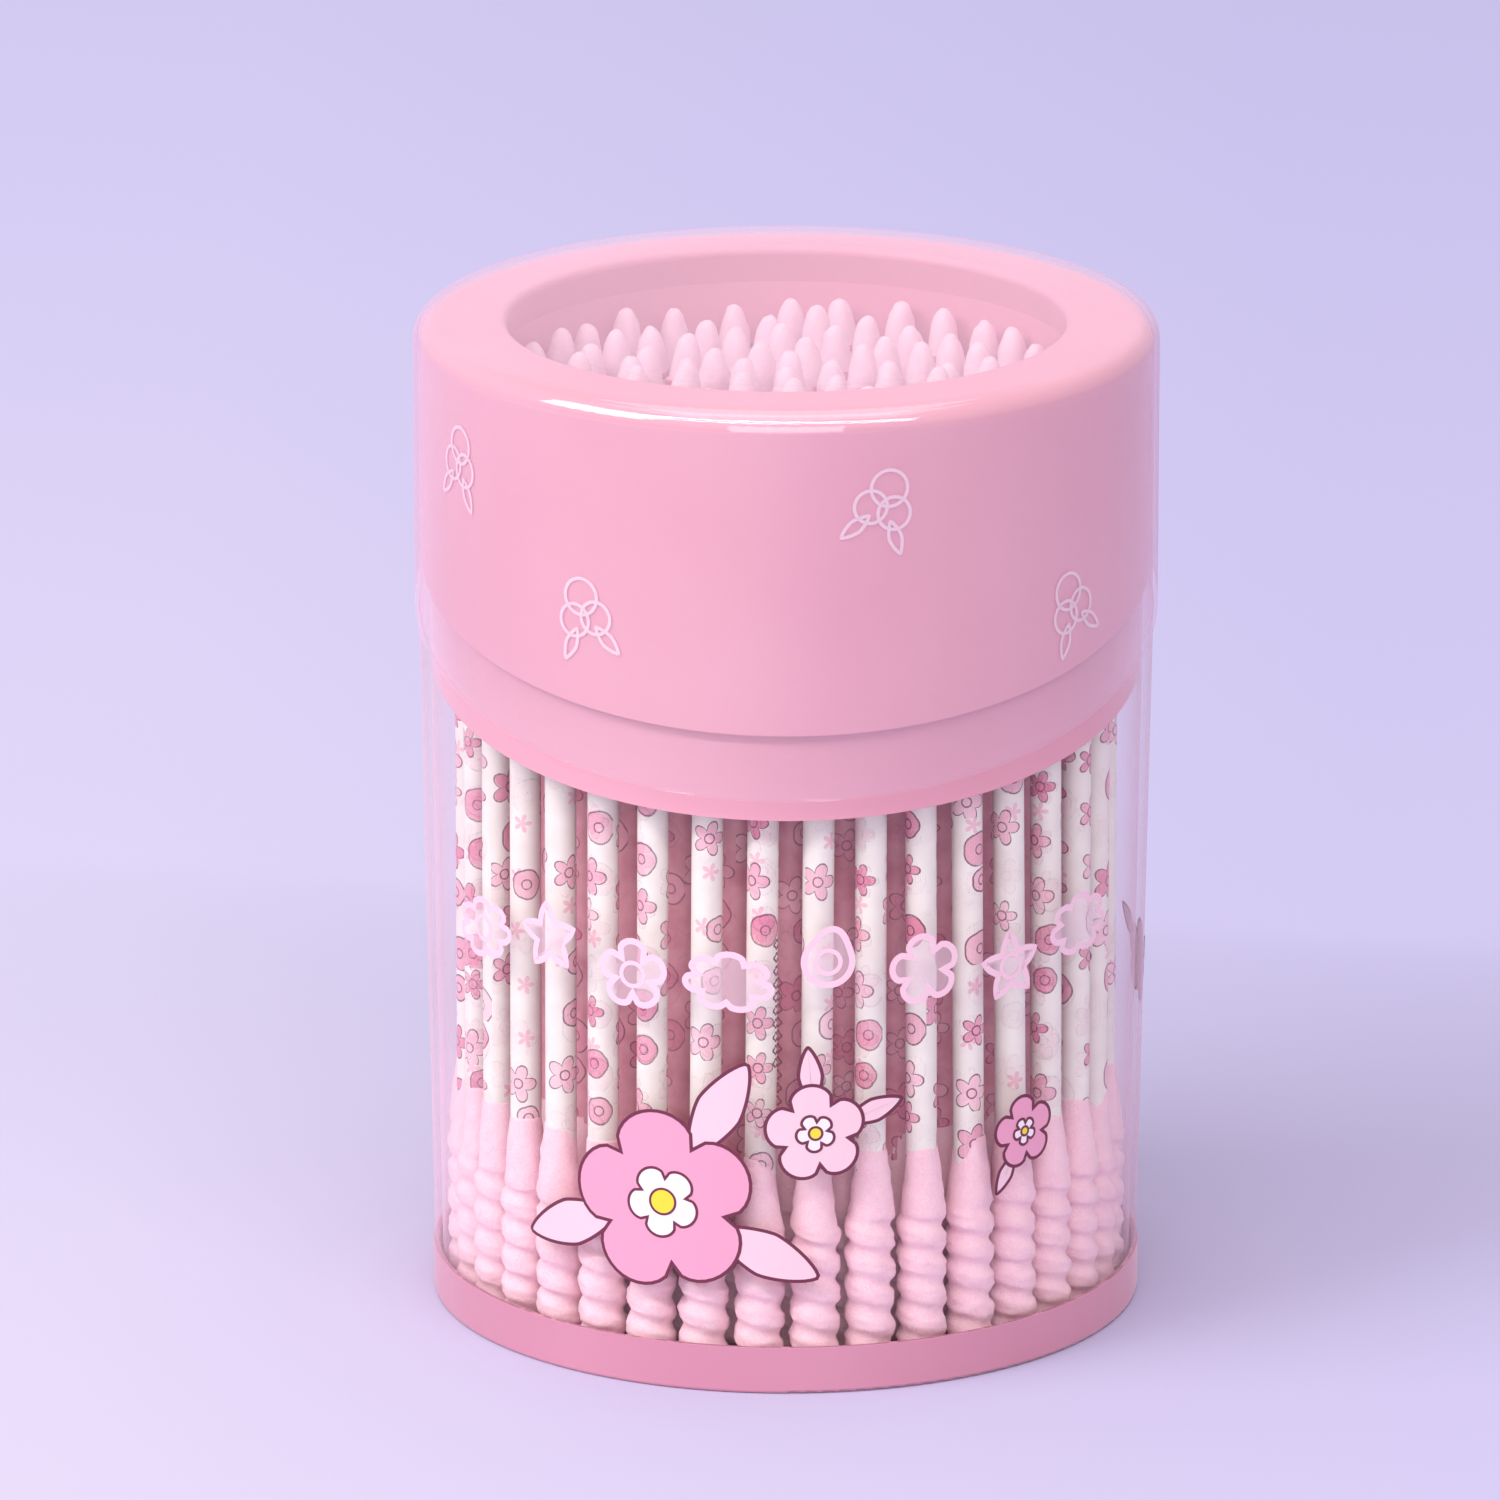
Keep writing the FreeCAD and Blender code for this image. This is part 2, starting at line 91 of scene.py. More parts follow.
class Finish:
    """A material under construction, with short calls for its nodes."""

    def __init__(self, name):
        self.material = bpy.data.materials.new(name)
        self.material.use_nodes = True
        self.tree = self.material.node_tree
        self.tree.nodes.clear()
        self.place = self.node("TexCoord").outputs["Object"]

    def put(self, socket, value):
        if isinstance(value, bpy.types.NodeSocket):
            self.tree.links.new(value, socket)
        else:
            socket.default_value = value

    def node(self, kind, sockets=None, **settings):
        made = self.tree.nodes.new("ShaderNode" + kind)
        for name, value in settings.items():
            setattr(made, name, value)
        for socket, value in (sockets or {}).items():
            self.put(made.inputs[socket], value)
        return made

    def math(self, operation, *values, clamp=False):
        made = self.node("Math", operation=operation, use_clamp=clamp)
        for socket, value in zip(made.inputs, values):
            self.put(socket, value)
        return made.outputs[0]

    def add(self, one, other):
        return self.math("ADD", one, other)

    def less(self, one, other):
        return self.math("SUBTRACT", one, other)

    def times(self, one, other):
        return self.math("MULTIPLY", one, other)

    def size(self, value):
        return self.math("ABSOLUTE", value)

    def below(self, value, limit):
        return self.math("LESS_THAN", value, limit)

    def above(self, value, limit):
        return self.math("GREATER_THAN", value, limit)

    def noise(self, scale, detail=2.0, roughness=0.5):
        sockets = {"Vector": self.place, "Scale": scale, "Detail": detail, "Roughness": roughness}
        return self.node("TexNoise", sockets).outputs["Fac"]

    def ramp(self, value, low, high, start=0.0, end=1.0):
        sockets = {"Value": value, "From Min": low, "From Max": high, "To Min": start, "To Max": end}
        return self.node("MapRange", sockets).outputs["Result"]

    def mix(self, share, low, high):
        made = self.node("Mix", data_type="RGBA")
        for index, value in ((0, share), (6, low), (7, high)):
            self.put(made.inputs[index], value)
        return made.outputs[2]

    def bump(self, height, strength, distance):
        sockets = {"Height": height, "Strength": strength, "Distance": distance}
        return self.node("Bump", sockets).outputs["Normal"]

    def done(self, shader):
        out = self.node("OutputMaterial")
        self.tree.links.new(shader, out.inputs["Surface"])
        return self.material


def pink_plastic(name, dark, light, bloom):
    """Milky pink moulded plastic with a satin skin and a pale bloom."""
    finish = Finish(name)
    cloud = finish.ramp(finish.noise(CLOUDS), 0.35, 0.65)
    shader = finish.node(
        "BsdfPrincipled",
        {
            "Base Color": finish.mix(cloud, dark, light),
            "Roughness": finish.ramp(finish.noise(SATIN), 0.3, 0.7, 0.44, 0.52),
            "Specular IOR Level": 0.3,
            "Sheen Weight": bloom,
            "Sheen Roughness": 0.4,
            "Sheen Tint": colour(255, 232, 246),
            "Normal": finish.bump(finish.noise(MOULD_GRAIN), 0.08, 0.02 * MM),
        },
    )
    return finish.done(shader.outputs[0])


def clear_plastic(name, mirror, painted_refraction_tint):
    """Clear glossy plastic, seen by its reflections and by a painted pinkish haze at its grazing edges,
    which stands in for the pink parts seen refracted through the wall. Mirror is the share of light
    that it reflects straight on."""
    finish = Finish(name)
    slant = finish.node("LayerWeight", {"Blend": 0.5}).outputs["Facing"]
    veil = finish.times(finish.math("POWER", slant, 5.0), 0.75)
    through = finish.node("BsdfTransparent", {"Color": WHITE})
    # Painted refraction: a pinkish diffuse haze at the grazing edges
    painted_refraction_haze = finish.node("BsdfDiffuse", {"Color": painted_refraction_tint})
    body = finish.node("MixShader", {0: veil, 1: through.outputs[0], 2: painted_refraction_haze.outputs[0]})
    gloss = finish.node("BsdfGlossy", {"Color": WHITE, "Roughness": 0.02})
    bounce = finish.times(finish.math("POWER", slant, 6.0), 0.22)
    bounce = finish.math("ADD", bounce, mirror, clamp=True)
    shader = finish.node("MixShader", {0: bounce, 1: body.outputs[0], 2: gloss.outputs[0]})
    return finish.done(shader.outputs[0])


def pink_cotton(name, dark, light, fibre_tip):
    """Wound cotton: short fibres, a soft sheen and painted shade, a darker pink, where it curves inwards.
    """
    finish = Finish(name)
    tuft = finish.noise(TUFT)
    fibre = finish.noise(FIBRE, roughness=0.65)
    painted_shade_hollow = finish.node("NewGeometry").outputs["Pointiness"]
    shade = finish.mix(finish.ramp(tuft, 0.3, 0.7), dark, light)
    shade = finish.mix(finish.ramp(fibre, 0.35, 0.75), shade, fibre_tip)
    # Painted shade: where the cotton curves inwards it is mixed towards a darker pink
    shade = finish.mix(finish.ramp(painted_shade_hollow, 0.44, 0.5, 0.2, 0.0), shade, colour(236, 164, 192))
    height = finish.add(finish.times(tuft, 0.7), finish.times(fibre, 0.5))
    shader = finish.node(
        "BsdfPrincipled",
        {
            "Base Color": shade,
            "Roughness": 0.95,
            "Specular IOR Level": 0.1,
            "Sheen Weight": 0.6,
            "Sheen Roughness": 0.5,
            "Sheen Tint": colour(255, 226, 238),
            "Normal": finish.bump(height, 0.7, 0.15 * MM),
        },
    )
    return finish.done(shader.outputs[0])


# The stick's print, in millimetres round and along the stick: the cells that hold one motif or
# star each, how far a motif strays from its cell's middle, and the sizes of its parts
MOTIF_CELL = (3.77, 3.9)
STAR_CELL = (3.77, 4.3)
MOTIF_STRAY = 0.8
STAR_STRAY = 0.6
PETALS = 5.0
BUTTON_SHARE = 0.35
BUTTON_DEPTH = 0.08
PETAL_DEPTH = 0.75
MOTIF_RADIUS = (0.95, 1.4)
STAR_RADIUS = 0.55
OUTLINE = 0.07
EYE_RADIUS = 0.38
BEAD_PITCH = 1.05
BEAD_STRETCH = 10.5
BEAD_REPEAT = 23.0
PLUM = colour(112, 52, 80)


def printed_paper(name, light, dark, print_cover):
    """Rolled paper with small outlined blossoms, buttons, stars and dotted lines."""
    finish = Finish(name)
    roll = finish.node("SeparateXYZ", {0: finish.node("UVMap", uv_map="roll").outputs["UV"]})
    lot = finish.node("SeparateXYZ", {0: finish.node("UVMap", uv_map="lot").outputs["UV"]})
    around, along = roll.outputs["X"], roll.outputs["Y"]
    density, dotted = lot.outputs["X"], lot.outputs["Y"]

    def cell_parts(width, height, seed):
        """Where a point lies in its cell of the print, and three chances of that cell."""
        column = finish.math("FLOOR", finish.math("DIVIDE", around, width))
        odd = finish.math("MODULO", finish.add(column, 100.0), 2.0)
        raised = finish.math("MULTIPLY_ADD", odd, height / 2, along)
        row = finish.math("FLOOR", finish.math("DIVIDE", raised, height))
        cell = finish.node("CombineXYZ", {"X": column, "Y": row, "Z": finish.add(density, seed)})
        chance = finish.node("TexWhiteNoise", {"Vector": cell.outputs[0]}, noise_dimensions="3D")
        parts = finish.node("SeparateColor", {0: chance.outputs["Color"]})
        side = finish.less(around, finish.times(finish.add(column, 0.5), width))
        rise = finish.less(raised, finish.times(finish.add(row, 0.5), height))
        return side, rise, [parts.outputs[index] for index in range(3)]

    def round_shape(side, rise, width, petals, depth):
        """Distance from the middle, and distance outside a round or petalled outline."""
        squares = finish.add(finish.times(side, side), finish.times(rise, rise))
        spread = finish.math("SQRT", squares)
        turn = finish.math("ARCTAN2", rise, side)
        wave = finish.size(finish.math("COSINE", finish.times(turn, petals / 2)))
        reach = finish.add(width, finish.times(finish.less(wave, 0.7), depth))
        return spread, finish.less(spread, reach)

    def strayed(offset, chance, most):
        return finish.add(offset, finish.ramp(chance, 0.0, 1.0, -most, most))

    # Outlined blossoms, and buttons where the petals are shallow
    side, rise, (first, second, third) = cell_parts(*MOTIF_CELL, 0.0)
    side = strayed(side, second, MOTIF_STRAY)
    rise = strayed(rise, third, MOTIF_STRAY)
    petalled = finish.above(second, BUTTON_SHARE)
    depth = finish.ramp(petalled, 0.0, 1.0, BUTTON_DEPTH, PETAL_DEPTH)
    width = finish.ramp(third, 0.0, 1.0, *MOTIF_RADIUS)
    spread, away = round_shape(side, rise, width, PETALS, depth)
    shown = finish.below(first, density)
    fill = finish.times(finish.below(away, 0.0), shown)
    line = finish.below(finish.size(away), OUTLINE)
    eye = finish.below(finish.size(finish.less(spread, EYE_RADIUS)), 0.06)
    line = finish.times(finish.math("MAXIMUM", line, eye), shown)
    tone = finish.ramp(first, 0.1, 0.7)

    # Small pale stars between them, on all but the plainest sticks
    side, rise, (first, second, third) = cell_parts(*STAR_CELL, 5.0)
    side = strayed(side, second, STAR_STRAY)
    away = round_shape(side, rise, STAR_RADIUS, PETALS, 0.7)[1]
    star = finish.times(finish.below(away, 0.0), finish.below(first, 0.42))
    star = finish.times(star, finish.below(0.3, density))

    # A line of open dots along some of the sticks
    bead = finish.less(finish.math("MODULO", along, BEAD_PITCH), BEAD_PITCH / 2)
    turned_from = finish.less(finish.size(around), 0.2)
    away = round_shape(turned_from, bead, 0.3, 4.0, 0.12)[1]
    bead = finish.below(finish.size(away), 0.085)
    stretch = finish.below(finish.math("MODULO", along, BEAD_REPEAT), BEAD_STRETCH)
    bead = finish.times(finish.times(bead, stretch), finish.above(dotted, 0.62))

    inked = finish.math("MAXIMUM", line, bead)
    warm = finish.mix(tone, colour(249, 200, 212), colour(226, 122, 156))
    shade = finish.mix(finish.ramp(finish.noise(PAPER_CLOUDS), 0.3, 0.7), dark, light)
    for share, cover, tint in ((star, 0.6, colour(240, 160, 184)), (fill, 0.92, warm), (inked, 0.95, PLUM)):
        shade = finish.mix(finish.times(share, cover * print_cover), shade, tint)
    grain = finish.noise(PAPER_GRAIN, 3.0)
    shader = finish.node(
        "BsdfPrincipled",
        {"Base Color": shade, "Roughness": 0.6, "Normal": finish.bump(grain, 0.15, 0.04 * MM)},
    )
    return finish.done(shader.outputs[0])


def ink(name, red, green, blue, cover=1.0):
    """One printed colour. Cover under 1 lets what lies behind show through."""
    finish = Finish(name)
    speck = finish.ramp(finish.noise(INK_SPECKS), 0.3, 0.7, 0.96, 1.0)
    thin = colour(red * 0.93, green * 0.93, blue * 0.93)
    shade = finish.mix(speck, thin, colour(red, green, blue))
    body = finish.node("BsdfPrincipled", {"Base Color": shade, "Roughness": 0.45, "Alpha": cover})
    return finish.done(body.outputs[0])


COLLAR_PINK = pink_plastic("milky_pink_plastic", colour(228, 159, 177), colour(232, 167, 184), 0.4)
BASE_PINK = pink_plastic("deeper_pink_plastic", colour(208, 139, 162), colour(214, 147, 169), 0.5)
# The clear pieces' edge colours are painted refraction: the pink of the parts behind each wall
TUBE_CLEAR = clear_plastic("clear_tube_plastic", 0.015, colour(250, 214, 233))
CAP_CLEAR = clear_plastic("clear_cap_plastic", 0.08, colour(249, 200, 225))
TIP_COTTON = pink_cotton(
    "pale_pink_cotton", colour(250, 204, 222), colour(254, 220, 233), colour(255, 230, 240)
)
WOUND_COTTON = pink_cotton(
    "pink_cotton", colour(250, 196, 211), colour(254, 211, 221), colour(255, 221, 228)
)
PAPER = printed_paper("printed_paper", colour(247, 240, 232), colour(238, 229, 222), 1.0)
# Painted shade and pink bounce light: the inner rings' sticks, deep in the tub, get a darker, pinker paper
INNER_PAPER_PAINTED_SHADE = printed_paper("inner_printed_paper_painted_shade", colour(240, 177, 189), colour(222, 147, 163), 0.7)
PINK_INK = ink("pink_ink", 238, 163, 193)
PALE_INK = ink("pale_pink_ink", 247, 206, 219)
PLUM_INK = ink("plum_ink", 112, 42, 68)
YELLOW_INK = ink("yellow_ink", 248, 222, 60)
WHITE_INK = ink("white_ink", 252, 236, 243)
VEIL_INK = ink("veil_ink", 250, 222, 234, 0.4)
LINE_INK = ink("pale_line_ink", 250, 206, 222)
SPRIG_INK = ink("sprig_ink", 254, 232, 242, 0.72)


def alone(piece=None):
    """Leaves only the given piece selected and active."""
    bpy.ops.object.select_all(action="DESELECT")
    if piece is not None:
        piece.select_set(True)
        bpy.context.view_layer.objects.active = piece


def drawn_up(name, sides, stations, section=None):
    """A closed round form: a disc drawn up through stations of height, radius and turn. Section
    gives the share of the radius at each corner of the disc."""
    alone()
    height, radius = stations[0][:2]
    bpy.ops.mesh.primitive_circle_add(vertices=sides, radius=radius, fill_type="NGON")
    piece = bpy.context.object
    piece.name = name
    for index, corner in enumerate(piece.data.vertices):
        share = section(index / sides) if section else 1.0
        corner.co = (corner.co.x * share, corner.co.y * share, height)
    bpy.ops.object.mode_set(mode="EDIT")
    bpy.ops.mesh.select_all(action="SELECT")
    for low, high in zip(stations, stations[1:]):
        middle = (0, 0, high[0])
        scale = high[1] / low[1]
        lift = {"value": (0, 0, high[0] - low[0])}
        bpy.ops.mesh.extrude_region_move(TRANSFORM_OT_translate=lift)
        bpy.ops.transform.resize(value=(scale, scale, 1), center_override=middle)
        if len(high) > 2:
            bpy.ops.transform.rotate(value=high[2], orient_axis="Z", center_override=middle)
    bpy.ops.mesh.select_all(action="SELECT")
    bpy.ops.mesh.normals_make_consistent(inside=False)
    bpy.ops.object.mode_set(mode="OBJECT")
    return piece


# The spiral bud, with the radius of its crests and of its cone's upper end
TURN_PITCH = 2.3 * MM
TURNS = 5
SPIRAL_RADIUS = 2.1 * MM
GROOVE_SHARE = 0.17
FLARE_LENGTH = 5.2 * MM
FLARE_TOP = 1.46 * MM

# The slim bud: heights and radii from its lower end to its tip, in millimetres
SLIM_LENGTH = 12.0 * MM
SLIM_STATIONS = (
    (0.0, 1.28), (0.6, 1.38), (2.0, 1.5), (4.0, 1.58), (5.5, 1.6), (7.2, 1.55), (8.7, 1.43),
    (9.8, 1.3), (10.6, 1.13), (11.2, 0.92), (11.65, 0.64), (11.9, 0.3),
)


def pillow(part):
    """Section of a wound bud: a soft swell with one rounded groove a turn."""
    dip = 0.5 + 0.5 * math.cos(FULL_TURN * part)
    return 1 - GROOVE_SHARE * dip ** 2.4


def spiral_bud(name, sides):
    """The thick end: a wound ridge that climbs round the bud and fades into a cone."""
    rise = TURN_PITCH / sides
    turn = FULL_TURN / sides
    blunt_end = ((0.0, 0.5), (0.1 * MM, 0.75), (0.35 * MM, 0.92))
    stations = [(height, share * SPIRAL_RADIUS) for height, share in blunt_end]
    height = stations[-1][0]
    while height < TURN_PITCH * TURNS:
        height += rise
        stations.append((height, SPIRAL_RADIUS, turn))
    for share in (0.08, 0.2, 0.35, 0.5, 0.65, 0.8, 1.0):
        narrow = SPIRAL_RADIUS + (FLARE_TOP - SPIRAL_RADIUS) * share
        stations.append((height + FLARE_LENGTH * share, narrow, turn * 0.3))
    stations.append((height + FLARE_LENGTH + 0.2 * MM, 0.97 * FLARE_TOP))
    stations.append((height + FLARE_LENGTH + 0.35 * MM, STICK_RADIUS))
    return drawn_up(name, sides, stations, pillow)


def slim_bud(name, sides):
    """The slim end: a soft belly that tapers to a blunt point."""
    return drawn_up(name, sides, [(high * MM, wide * MM) for high, wide in SLIM_STATIONS])


def paper_stick(name, sides):
    """A rolled paper rod, whose unrolled face is laid out in millimetres for the print."""
    length = SWAB_LENGTH - SPIRAL_COVER - POINT_COVER
    stick = drawn_up(name, sides, ((0.0, STICK_RADIUS), (length, STICK_RADIUS)))
    mesh = stick.data
    mesh.uv_layers.new(name="roll")
    mesh.uv_layers.new(name="lot")
    layout = mesh.uv_layers["roll"]
    for face in mesh.polygons:
        middle = math.atan2(face.center.y, face.center.x)
        for loop in face.loop_indices:
            place = mesh.vertices[mesh.loops[loop].vertex_index].co
            turn = math.atan2(place.y, place.x) - middle
            turn = middle + (turn + math.pi) % FULL_TURN - math.pi
            layout.data[loop].uv = (turn * STICK_RADIUS / MM, place.z / MM)
    return stick


def swab_axes(ring):
    """The foot and the direction of each swab, from the frame's sticks of one ring."""
    alone()
    source = nodes[f"paper_sticks_ring_{ring}"]
    copy = source.copy()
    copy.data = source.data.copy()
    copy.parent = None
    scene.collection.objects.link(copy)
    alone(copy)
    bpy.ops.object.mode_set(mode="EDIT")
    bpy.ops.mesh.select_all(action="SELECT")
    bpy.ops.mesh.remove_doubles(threshold=0.001 * MM)
    bpy.ops.mesh.separate(type="LOOSE")
    bpy.ops.object.mode_set(mode="OBJECT")
    axes = []
    for part in list(bpy.context.selected_objects):
        places = [corner.co.copy() for corner in part.data.vertices]
        middle = sum((place.z for place in places)) / len(places)
        low = [place for place in places if place.z < middle]
        high = [place for place in places if place.z >= middle]
        foot = sum(low, Vector()) / len(low)
        along = (sum(high, Vector()) / len(high) - foot).normalized()
        axes.append((foot - along * SPIRAL_COVER, along))
        bpy.data.objects.remove(part)
    return sorted(axes, key=lambda axis: math.atan2(axis[0].y, axis[0].x))


def stood(pattern, axis, start, spin, slim=1.0, short=1.0, tilt=0.0):
    """A copy of the pattern on a swab's axis, this far from its foot and turned by spin. It may be
    slimmer and shorter than the pattern, and tilted off the axis."""
    foot, along = axis
    turned = UP.rotation_difference(along).to_matrix().to_4x4() @ Matrix.Rotation(spin, 4, "Z")
    lean = Matrix.Rotation(tilt, 4, "X") @ Matrix.Diagonal((slim, slim, short, 1))
    copy = pattern.copy()
    copy.data = pattern.data.copy()
    copy.data.transform(Matrix.Translation(foot + along * start) @ (turned @ lean))
    scene.collection.objects.link(copy)
    return copy


def joined(name, copies, material):
    """The copies as one piece with one finish."""
    alone(copies[0])
    for copy in copies[1:]:
        copy.select_set(True)
    bpy.ops.object.join()
    piece = bpy.context.object
    piece.name = name
    piece.data.name = name
    piece.data.materials.clear()
    piece.data.materials.append(material)
    bpy.ops.object.shade_smooth_by_angle(angle=SMOOTH_ANGLE)
    return piece


# How uneven the cotton is, how deep it is pressed in at either end of a swab, and the share of
# that unevenness that goes inwards
TUFTS = bpy.data.textures.new("cotton_tufts", "CLOUDS")
TUFTS.noise_scale = 0.9 * MM
TUFTS.noise_depth = 2
WOUND_TUFTS = 0.36 * MM
TIP_TUFTS = 0.34 * MM
INWARDS = 0.95


def tufted(piece, depth):
    """Presses the cotton in unevenly."""
    alone(piece)
    press = piece.modifiers.new("tufts", "DISPLACE")
    press.texture = TUFTS
    press.texture_coords = "LOCAL"
    press.strength = depth
    press.mid_level = INWARDS
    bpy.ops.object.modifier_apply(modifier=press.name)
    return piece


def fitted(piece, body, slot, *replaced):
    """Lets the piece ride on a body, in place of the frame's nodes. The slot is not used."""
    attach(piece, body)
    if replaced:
        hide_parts(*replaced)
    return piece


# Shares of the print's cells that are filled, from nearly plain sticks to full ones
DENSITIES = (0.4, 0.75, 0.85, 0.95, 1.0)
# Longest stretch of print, in millimetres, that one stick is shifted by
PRINT_SHIFT = 300
# Least share of a tip's width and length, and the most degrees that it stands off its stick
SLIGHTEST = 0.96
SHORTEST = 0.95
MOST_TILT = 4.0


def dress_swabs():
    """Replaces the sticks and buds of every ring."""
    fine = (spiral_bud("fine_spiral", FINE_SIDES[0]), slim_bud("fine_slim", FINE_SIDES[1]))
    plain = (spiral_bud("plain_spiral", PLAIN_SIDES[0]), slim_bud("plain_slim", PLAIN_SIDES[1]))
    stick = paper_stick("stick", STICK_SIDES)
    chance = random.Random(SWAB_SEED)
    for ring in RINGS:
        spiral, slim = fine if ring >= FIRST_FINE_RING else plain
        wound, tips, sticks = [], [], []
        for axis in swab_axes(ring):
            spin = chance.uniform(0, FULL_TURN)
            wound.append(stood(spiral, axis, 0.0, spin))
            slighter, shorter = chance.uniform(SLIGHTEST, 1.0), chance.uniform(SHORTEST, 1.0)
            tilt = math.radians(chance.uniform(0, MOST_TILT))
            tips.append(stood(slim, axis, SWAB_LENGTH - SLIM_LENGTH, spin, slighter, shorter, tilt))
            rod = stood(stick, axis, SPIRAL_COVER, chance.uniform(0, FULL_TURN))
            shift = chance.uniform(0, PRINT_SHIFT)
            lot = (chance.choice(DENSITIES), chance.uniform(0, 1))
            for corner in rod.data.uv_layers["roll"].data:
                corner.uv.y += shift
            for corner in rod.data.uv_layers["lot"].data:
                corner.uv = lot
            sticks.append(rod)
        wound = tufted(joined(f"wound_buds_ring_{ring}", wound, WOUND_COTTON), WOUND_TUFTS)
        fitted(wound, "tub", "pink_cotton", f"spiral_buds_ring_{ring}")
        tips = tufted(joined(f"slim_buds_ring_{ring}", tips, TIP_COTTON), TIP_TUFTS)
        fitted(tips, "tub", "pink_cotton", f"pointed_buds_ring_{ring}")
        # Every ring but the outermost takes the darker, pinker paper that paints the shade inside the tub
        paper = PAPER if ring == RINGS[-1] else INNER_PAPER_PAINTED_SHADE
        sticks = joined(f"printed_sticks_ring_{ring}", sticks, paper)
        fitted(sticks, "tub", "printed_paper", f"paper_sticks_ring_{ring}")
    for pattern in (*fine, *plain, stick):
        bpy.data.objects.remove(pattern)


def dress_frame():
    """Finishes of the moulded pieces, whose shapes are the frame's own."""
    finishes = {
        "base_cup": BASE_PINK, "collar": COLLAR_PINK, "clear_tube": TUBE_CLEAR, "clear_cap": CAP_CLEAR,
    }
    for name, material in finishes.items():
        nodes[name].data.materials.clear()
        nodes[name].data.materials.append(material)


# Outlines of the printed motifs: the share of a motif's size at each turn round its middle
def blossom(turn):
    return 0.7 + 0.3 * abs(math.cos(2.5 * (turn - math.pi / 2))) ** 0.55


def star(turn):
    part = (5 * (turn - math.pi / 2) / FULL_TURN) % 1.0
    return 0.55 + 0.45 * abs(2 * part - 1) ** 1.15


def cloud(turn):
    return 0.8 + 0.2 * abs(math.cos(3.5 * (turn - math.pi / 2))) ** 0.6


def leaf(turn):
    across, high = abs(math.cos(turn)), abs(math.sin(turn))
    return 1.0 / (across ** 1.45 + (high / 0.42) ** 1.45) ** (1 / 1.45)


def button(turn):
    return 1.0


def drop(turn):
    return 0.72 + 0.28 * max(0.0, math.sin(turn)) ** 6


OUTLINE_POINTS = 70


def flat_motif(outline, size, line, fill_ink, line_ink, stretch=(1, 1), tilt=0, at=(0, 0)):
    """A flat shape on the table, upright along Y, with an outline of its own colour."""
    alone()
    bpy.ops.mesh.primitive_circle_add(vertices=OUTLINE_POINTS, radius=1, fill_type="NGON")
    piece = bpy.context.object
    for corner in piece.data.vertices:
        turn = math.atan2(corner.co.y, corner.co.x)
        reach = outline(turn) * size
        corner.co = (math.cos(turn) * reach * stretch[0], math.sin(turn) * reach * stretch[1], 0)
    swing = Matrix.Translation((at[0], at[1], 0)) @ Matrix.Rotation(math.radians(tilt), 4, "Z")
    piece.data.transform(swing)
    piece.data.materials.append(line_ink)
    if fill_ink is not None:
        piece.data.materials.append(fill_ink)
    bpy.ops.object.mode_set(mode="EDIT")
    bpy.ops.mesh.select_all(action="SELECT")
    bpy.ops.mesh.inset(thickness=line)
    if fill_ink is None:
        bpy.ops.mesh.delete(type="ONLY_FACE")
    else:
        piece.active_material_index = 1
        bpy.ops.object.material_slot_assign()
    bpy.ops.mesh.select_all(action="SELECT")
    bpy.ops.mesh.quads_convert_to_tris()
    # Upright cuts a millimetre apart let the shape bend round the wall
    span = int(max(stretch) * size / MM) + 2
    for strip in range(-span, span + 1):
        bpy.ops.mesh.select_all(action="SELECT")
        bpy.ops.mesh.bisect(plane_co=(at[0] + strip * MM, 0, 0), plane_no=(1, 0, 0))
    bpy.ops.object.mode_set(mode="OBJECT")
    return piece


def tube_radius(height):
    (foot, low), (rim, high) = TUBE_FOOT, TUBE_RIM
    return foot + (rim - foot) * (height - low) / (high - low)


def cap_radius(height):
    return CAP_BORE


def wrapped(piece, azimuth, height, lift, radius_at=tube_radius):
    """Bends a flat print round the tub, upright, this far outside the wall's surface."""
    wall = radius_at(height)
    for corner in piece.data.vertices:
        turn = math.radians(azimuth) + corner.co.x / wall
        up = height + corner.co.y
        reach = radius_at(up) + lift
        corner.co = (math.sin(turn) * reach, -math.cos(turn) * reach, up)
    return piece


def print_piece(name, parts, body):
    """The parts of one print as a piece that rides on what it is printed on."""
    alone(parts[0])
    for part in parts[1:]:
        part.select_set(True)
    if len(parts) > 1:
        bpy.ops.object.join()
    piece = bpy.context.object
    piece.name = name
    piece.data.name = name
    return fitted(piece, body, "pink_plastic")


# Thickness of one layer of ink, and the widths of its lines
LAYER = 0.02 * MM
BLOSSOM_LINE = 0.27 * MM
ROW_LINE = 0.5 * MM
SPRIG_LINE = 0.27 * MM

# Each spray: name, place round the tube in degrees from the front, height and size in
# millimetres, its two inks, and the direction and reach of each leaf
SPRAYS = (
    ("large", -20, 15.0, 7.4, PINK_INK, ((200, 1.15), (335, 1.2), (60, 1.2))),
    ("middle", 4.5, 21.0, 4.0, PALE_INK, ((20, 1.2), (95, 1.15))),
    ("small_right", 41, 19.0, 3.0, PINK_INK, ((240, 1.2),)),
    ("far_right", 98, 25.0, 3.4, PALE_INK, ((150, 1.2), (30, 1.2))),
    ("back_large", 160, 17.0, 6.2, PINK_INK, ((190, 1.15), (330, 1.2))),
    ("back_small", 126, 19.0, 3.2, PALE_INK, ((60, 1.2),)),
    ("far_left", -118, 20.0, 3.4, PINK_INK, ((120, 1.2),)),
)


# The row of pale shapes: its first place and its step in degrees round the tube, and its height
# and how far it rises and falls, in millimetres
ROW = (cloud, star, blossom, cloud, drop, blossom, star, cloud)
ROW_START = -56
ROW_STEP = 15.6
ROW_HEIGHT = 33.6
ROW_WAVE = 1.1


